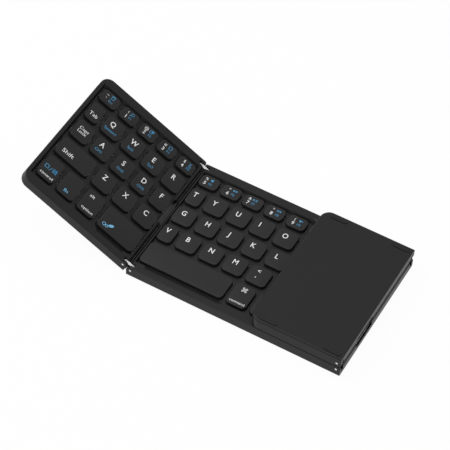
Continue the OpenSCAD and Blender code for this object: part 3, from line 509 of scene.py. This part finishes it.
WORDS = {
    ("left", 3, 4): [("Tab", 1.7, 10.1, 2.8, 6.2)],
    ("left", 2, 4): [("Caps", 3.0, 6.0, 2.3, 7.0), ("Lock", 3.0, 8.7, 2.3, 6.6)],
    ("left", 1, 3): [("Shift", 3.9, 10.2, 3.0, 8.5)],
    ("left", 0, 3): [("control", 1.6, 14.9, 2.0, 9.6)],
    ("left", 0, 1): [("alt", 2.8, 4.8, 2.1, 3.6), ("option", 2.7, 14.9, 2.0, 8.6)],
    ("middle", 0, 1): [("command", 1.6, 15.0, 1.9, 10.2)],
    ("middle", 0, 2): [("alt", 2.5, 4.8, 2.1, 3.6), ("option", 2.4, 15.0, 2.0, 8.6)],
    ("middle", 1, 8): [("Shift", 1.9, 9.8, 2.8, 8.0)],
    ("middle", 2, 7): [("Enter", 8.5, 9.8, 2.8, 8.2)],
    ("middle", 4, 8): [("Backspace", 1.6, 6.0, 1.9, 11.0)],
}
BLUE_WORDS = {("left", 0, 2): [("fn", 4.4, 14.5, 2.5, 3.2)]}
SIGNS = {
    ("left", 0, 3): [("screens", 6.4, 8.6, "blue")],
    ("left", 0, 0): [("pairing", 6.4, 12.5, "pale"), ("pairing_tail", 6.4, 12.5, "pale")],
    ("middle", 0, 1): [("loops", 6.5, 3.8, "white")],
    ("middle", 0, 3): [("left", 6.7, 8.5, "white")],
    ("middle", 0, 4): [("down", 6.7, 8.5, "white")],
    ("middle", 0, 5): [("right", 7.0, 8.5, "white")],
    ("middle", 1, 7): [("up", 6.8, 6.9, "white")],
}


def marks_on(panel, row, index, place, back_left):
    """The printed signs of one key: {colour: [parts]}. Sizes run from its top's back left corner."""
    store = {}

    def at(dx, dy):
        return place @ Matrix.Translation((back_left[0] + dx, back_left[1] - dy,
                                           KEY_TOP + PRINT * 0.35))

    key = (panel, row, index)
    letters = LETTERS[panel].get(row, "")
    if index < len(letters):
        letter = letters[index]
        sign = mark_of_text(letter, LETTER_HEIGHT, "CENTER", wide=LETTER_WIDE, bold=LETTER_BOLD)
        put_mark(store, "white", [sign], at(LETTER_MIDDLES[letter], LETTER_DROPS[panel][row]))
    if key in SECOND:
        text, dx, dy, width = SECOND[key]
        put_mark(store, "blue", [mark_of_text(text, SECOND_HEIGHT, "CENTER", width)], at(dx, dy))
    if key in SHIFTED:
        for text, drop in zip(SHIFTED[key], PAIR_DROPS):
            put_mark(store, "white", [mark_of_text(text, PAIR_HEIGHT, "CENTER")], at(PAIR_MIDDLE, drop))
    if row == 4 and index < len(NUMBERS[panel]):
        upper, lower, sign, second, white_dx, blue_dx = NUMBERS[panel][index]
        upper_mark = mark_of_text(upper, NUMBER_HEIGHTS[0], "CENTER", bold=0)
        lower_mark = mark_of_text(lower, NUMBER_HEIGHTS[1], "CENTER")
        function_mark = mark_of_text(second, FUNCTION_HEIGHT, "CENTER", bold=0)
        put_mark(store, "white", [upper_mark], at(white_dx, NUMBER_DROPS[0]))
        put_mark(store, "white", [lower_mark], at(white_dx, NUMBER_DROPS[1]))
        put_mark(store, "blue", icon(sign), at(blue_dx, NUMBER_SIGN_DROP))
        put_mark(store, "blue", [function_mark], at(blue_dx, FUNCTION_DROP))
    for text, dx, dy, height, width in WORDS.get(key, []):
        put_mark(store, "white", [mark_of_text(text, height, width=width, bold=0)], at(dx, dy))
    for text, dx, dy, height, width in BLUE_WORDS.get(key, []):
        put_mark(store, "pale", [mark_of_text(text, height, width=width)], at(dx, dy))
    for sign, dx, dy, color in SIGNS.get(key, []):
        put_mark(store, color, icon(sign), at(dx, dy))
    return store


for name, (panel, spots) in KEY_NODES.items():
    place = PANELS[panel]
    caps = []
    prints = {}
    for row, index in spots:
        left, front, width, depth = key_place(panel, row, index)
        cap = keycap(width, depth)
        middle = Matrix.Translation((left + width / 2, front + depth / 2, KEY_TOP))
        caps.append(copy_at(cap, place @ middle))
        for color, parts in marks_on(panel, row, index, place, (left, front + depth)).items():
            prints.setdefault(color, []).extend(parts)
    piece = dress(joined(caps, "caps_" + name), FINISHES["key_plastic"])
    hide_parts(name)
    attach(piece, name)
    for color, parts in prints.items():
        print_piece = dress(joined(parts, color + "_print_" + name), PRINTS[color])
        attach(print_piece, name)

for cap in cap_models.values():
    bpy.data.objects.remove(cap)

# ---- homing bars on F and J ----
for name, panel, index in (("home_left_letter_keys", "left", 0), ("home_right_letter_keys", "middle", 2)):
    left, front, width, depth = key_place(panel, 2, index)
    bpy.ops.mesh.primitive_cube_add(size=1, location=(0, 0, 0))
    ridge = bpy.context.object
    ridge.scale = HOMING_BAR
    bpy.ops.object.transform_apply(location=True, rotation=True, scale=True)
    pick(ridge, lambda c, d: True, kind="EDGE")
    bpy.ops.mesh.bevel(offset=HOMING_ROLL, segments=3, affect="EDGES")
    bpy.ops.object.mode_set(mode="OBJECT")
    middle = Matrix.Translation((left + width / 2, front + HOMING_FRONT, KEY_TOP))
    ridge.matrix_world = PANELS[panel] @ middle
    ridge = dress(settle(ridge), FINISHES["key_plastic"])
    ridge.name = "homing_bar_" + panel
    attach(ridge, name)


# ---- studio ----

FLOOR_SIZE, FLOOR_DROP, FLOOR_GLOW = 8.0, 0.0002, 0.96
SKY_COLOR = (0.40, 0.40, 0.405, 1)


def background_seen(tree):
    """1 for camera rays, reflections and rays through glass, 0 for the rest."""
    rays = node(tree, "ShaderNodeLightPath")
    either = node(tree, "ShaderNodeMath", operation="MAXIMUM")
    tree.links.new(rays.outputs["Is Camera Ray"], either.inputs[0])
    tree.links.new(rays.outputs["Is Glossy Ray"], either.inputs[1])
    any_of_them = node(tree, "ShaderNodeMath", operation="MAXIMUM")
    tree.links.new(either.outputs[0], any_of_them.inputs[0])
    tree.links.new(rays.outputs["Is Transmission Ray"], any_of_them.inputs[1])
    return any_of_them


def make_floor():
    """A matt pale floor that looks white and keeps the object's shadow."""
    bpy.ops.mesh.primitive_plane_add(size=FLOOR_SIZE, location=(0, 0, -FLOOR_DROP))
    floor = bpy.context.object
    floor.name = "floor"
    paint = bpy.data.materials.new("floor_paint")
    paint.use_nodes = True
    tree = paint.node_tree
    tree.nodes.remove(tree.nodes["Principled BSDF"])
    matt = node(tree, "ShaderNodeBsdfDiffuse", Color=(0.92, 0.92, 0.92, 1))
    glow = node(tree, "ShaderNodeEmission", Color=(1, 1, 1, 1), Strength=1.0)
    share = node(tree, "ShaderNodeMath", operation="MULTIPLY")
    share.inputs[1].default_value = FLOOR_GLOW
    blend = node(tree, "ShaderNodeMixShader")
    tree.links.new(background_seen(tree).outputs[0], share.inputs[0])
    tree.links.new(share.outputs[0], blend.inputs["Fac"])
    tree.links.new(matt.outputs[0], blend.inputs[1])
    tree.links.new(glow.outputs[0], blend.inputs[2])
    tree.links.new(blend.outputs[0], tree.nodes["Material Output"].inputs["Surface"])
    dress(floor, paint)


def make_world():
    """Soft grey light from all round, in front of a white backdrop."""
    world = bpy.data.worlds.new("studio")
    bpy.context.scene.world = world
    world.use_nodes = True
    tree = world.node_tree
    sky = tree.nodes["Background"]
    sky.inputs["Color"].default_value = SKY_COLOR
    white = node(tree, "ShaderNodeBackground", Color=(1, 1, 1, 1), Strength=1.0)
    blend = node(tree, "ShaderNodeMixShader")
    tree.links.new(background_seen(tree).outputs[0], blend.inputs["Fac"])
    tree.links.new(sky.outputs[0], blend.inputs[1])
    tree.links.new(white.outputs[0], blend.inputs[2])
    tree.links.new(blend.outputs[0], tree.nodes["World Output"].inputs["Surface"])


def make_softbox(name, at, size, power):
    """A round lamp that points at the object; places in metres."""
    bpy.ops.object.light_add(type="AREA", location=at)
    lamp = bpy.context.object
    lamp.name = name
    lamp.data.shape = "DISK"
    lamp.data.size = size
    lamp.data.energy = power
    lamp.rotation_euler = Vector(at).to_track_quat("Z", "Y").to_euler()


make_floor()
make_world()
make_softbox("overhead_front", (-0.45, -0.15, 1.55), 1.2, 11.5)
make_softbox("overhead_left", (-1.1, 0.0, 1.2), 0.8, 4.5)

# ---- camera: its place in millimetres from the middle panel's corner, its directions in world axes ----

FOCAL_PIXELS, FRAME_PIXELS, SENSOR = 2066.5, 450.0, 36.0
OPTICAL_CENTRE = (224.96, 226.93)
CAMERA_PLACE = (401.7, -672.2, 997.0)
CAMERA_FORWARD = (-0.2849, 0.5697, -0.7709)
CAMERA_RIGHT = (0.8693, 0.4924, 0.0426)


def make_camera():
    forward = Vector(CAMERA_FORWARD).normalized()
    rightward = Vector(CAMERA_RIGHT)
    rightward = (rightward - forward * rightward.dot(forward)).normalized()
    upward = rightward.cross(forward)
    bpy.ops.object.camera_add()
    camera = bpy.context.object
    turn = Matrix((rightward, upward, -forward)).transposed()
    camera.matrix_world = Matrix.Translation(MIDDLE @ Vector(CAMERA_PLACE)) @ turn.to_4x4()
    camera.data.sensor_width = SENSOR
    camera.data.lens = FOCAL_PIXELS / FRAME_PIXELS * SENSOR
    camera.data.shift_x = (FRAME_PIXELS / 2 - OPTICAL_CENTRE[0]) / FRAME_PIXELS
    camera.data.shift_y = (OPTICAL_CENTRE[1] - FRAME_PIXELS / 2) / FRAME_PIXELS
    camera.data.clip_end = 20
    bpy.context.scene.camera = camera


make_camera()
bpy.context.scene.view_settings.view_transform = "Standard"

bpy.ops.object.select_all(action="DESELECT")
